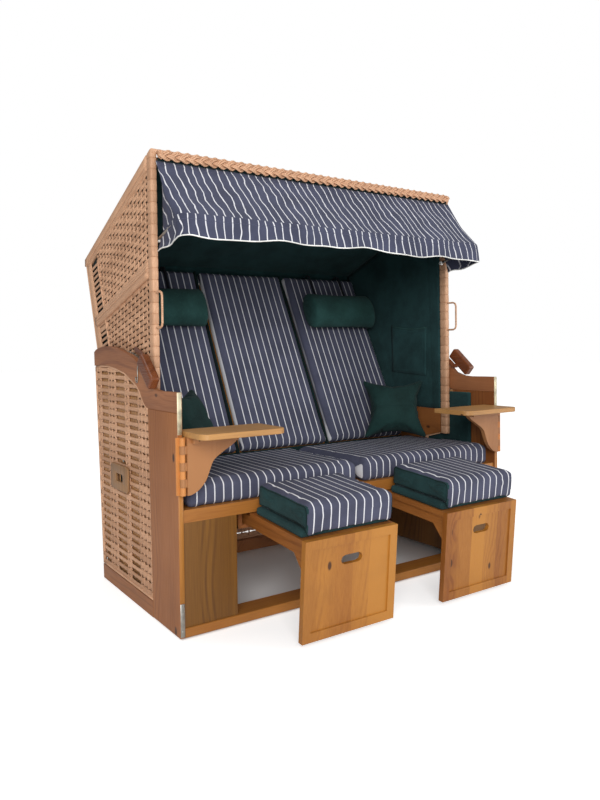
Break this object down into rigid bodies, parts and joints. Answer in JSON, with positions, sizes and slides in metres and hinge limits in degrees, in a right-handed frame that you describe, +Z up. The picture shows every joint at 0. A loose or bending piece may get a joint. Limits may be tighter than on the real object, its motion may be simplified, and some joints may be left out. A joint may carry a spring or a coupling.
{
  "type": "hooded beach chair",
  "caption": "Wide hooded beach chair: woven basket and tilting hood, striped cushions, front awning, pull-out footrests and swinging side tables.",
  "frame": {"origin": "on the ground under the middle of the chair's outer box", "axes": "+X to the right as the chair is seen from its front, +Y from the open front to the back, +Z up"},
  "size_m": [1.5506, 1.2987, 1.5965],
  "materials": {
    "side_wood": "oiled",
    "arm_wood": "oiled",
    "rattan": "satin flat strand",
    "wrapped_handle": "satin",
    "pine": "oiled",
    "hinge_wood": "oiled",
    "grip_wood": "varnished",
    "green_cloth": "woven cloth",
    "striped_cloth": "woven cloth",
    "steel": "brushed"
  },
  "bodies": {
    "base": {"side_board_left": "side_wood", "side_board_right": "side_wood", "arm_board_left": "arm_wood", "arm_board_right": "arm_wood", "bottom_rail_left": "side_wood", "bottom_rail_right": "side_wood", "side_weave_left": "rattan", "side_weave_right": "rattan", "carry_handle_left": "pine", "carry_handle_right": "pine", "side_lining_left": "green_cloth", "side_lining_right": "green_cloth", "hood_pivot_left": "steel", "hood_pivot_right": "steel", "box_panel_left": "pine", "box_panel_right": "pine", "footrest_runner_left": "side_wood", "footrest_runner_right": "side_wood", "hinge_leaf_left": "hinge_wood", "hinge_leaf_right": "hinge_wood", "hinge_pin_left": "steel", "hinge_pin_right": "steel", "seat_cushion_left": "striped_cloth", "seat_cushion_right": "striped_cloth", "pillow_left": "green_cloth", "pillow_right": "green_cloth", "catch_rack_left": "steel", "catch_rack_right": "steel", "front_beam": "pine", "rear_beam": "side_wood", "back_weave": "rattan", "seat_board": "pine"},
    "hood": {"hood_side_left": "rattan", "hood_side_right": "rattan", "neck_roll_left": "green_cloth", "neck_roll_right": "green_cloth", "hood_handle_left": "wrapped_handle", "hood_handle_right": "wrapped_handle", "hood_roof": "rattan", "hood_back": "rattan", "hood_lining": "green_cloth", "back_board": "pine", "back_cushion_left": "striped_cloth", "back_cushion_middle": "striped_cloth", "back_cushion_right": "striped_cloth", "braid_trim": "rattan", "awning_cover": "striped_cloth"},
    "awning": {"awning_bow": "steel"},
    "footrest_left": {"footrest_front_left": "pine", "footrest_frame_left": "pine", "footrest_cushion_left": "striped_cloth"},
    "table_left": {"table_console_left": "hinge_wood", "table_top_left": "pine"},
    "grip_left": {"catch_grip_left": "grip_wood"},
    "footrest_right": {"footrest_front_right": "pine", "footrest_frame_right": "pine", "footrest_cushion_right": "striped_cloth"},
    "table_right": {"table_console_right": "hinge_wood", "table_top_right": "pine"},
    "grip_right": {"catch_grip_right": "grip_wood"}
  },
  "joints": [
    {"name": "hood_tilt", "type": "hinge", "parent": "base", "child": "hood", "pos_m": [0, 0.1595, 0.5], "axis": [-1, 0, 0], "range_deg": [0, 36]},
    {"name": "awning_tilt", "type": "hinge", "parent": "hood", "child": "awning", "pos_m": [0, -0.0785, 1.29], "axis": [-1, 0, 0], "range_deg": [-20, 45], "deforming": ["awning_cover"]},
    {"name": "footrest_left_slide", "type": "slide", "parent": "base", "child": "footrest_left", "axis": [0, 0.9965, 0.0837], "range_m": [0, 0.3], "deforming": ["footrest_cushion_left"]},
    {"name": "table_left_swing", "type": "hinge", "parent": "base", "child": "table_left", "pos_m": [-0.7395, -0.355, 0.544], "axis": [0, 0, -1], "range_deg": [0, 165]},
    {"name": "grip_left_lift", "type": "hinge", "parent": "hood", "child": "grip_left", "pos_m": [-0.7243, 0.06412, 0.91313], "axis": [-1, 0, 0], "range_deg": [0, 12], "stiffness_Nm_per_rad": 1.5, "springref_deg": -22.92},
    {"name": "footrest_right_slide", "type": "slide", "parent": "base", "child": "footrest_right", "axis": [0, 0.9965, 0.0837], "range_m": [0, 0.3], "deforming": ["footrest_cushion_right"]},
    {"name": "table_right_swing", "type": "hinge", "parent": "base", "child": "table_right", "pos_m": [0.7395, -0.355, 0.544], "axis": [0, 0, 1], "range_deg": [0, 165]},
    {"name": "grip_right_lift", "type": "hinge", "parent": "hood", "child": "grip_right", "pos_m": [0.7243, 0.06412, 0.91313], "axis": [-1, 0, 0], "range_deg": [0, 12], "stiffness_Nm_per_rad": 1.5, "springref_deg": -22.92}
  ]
}
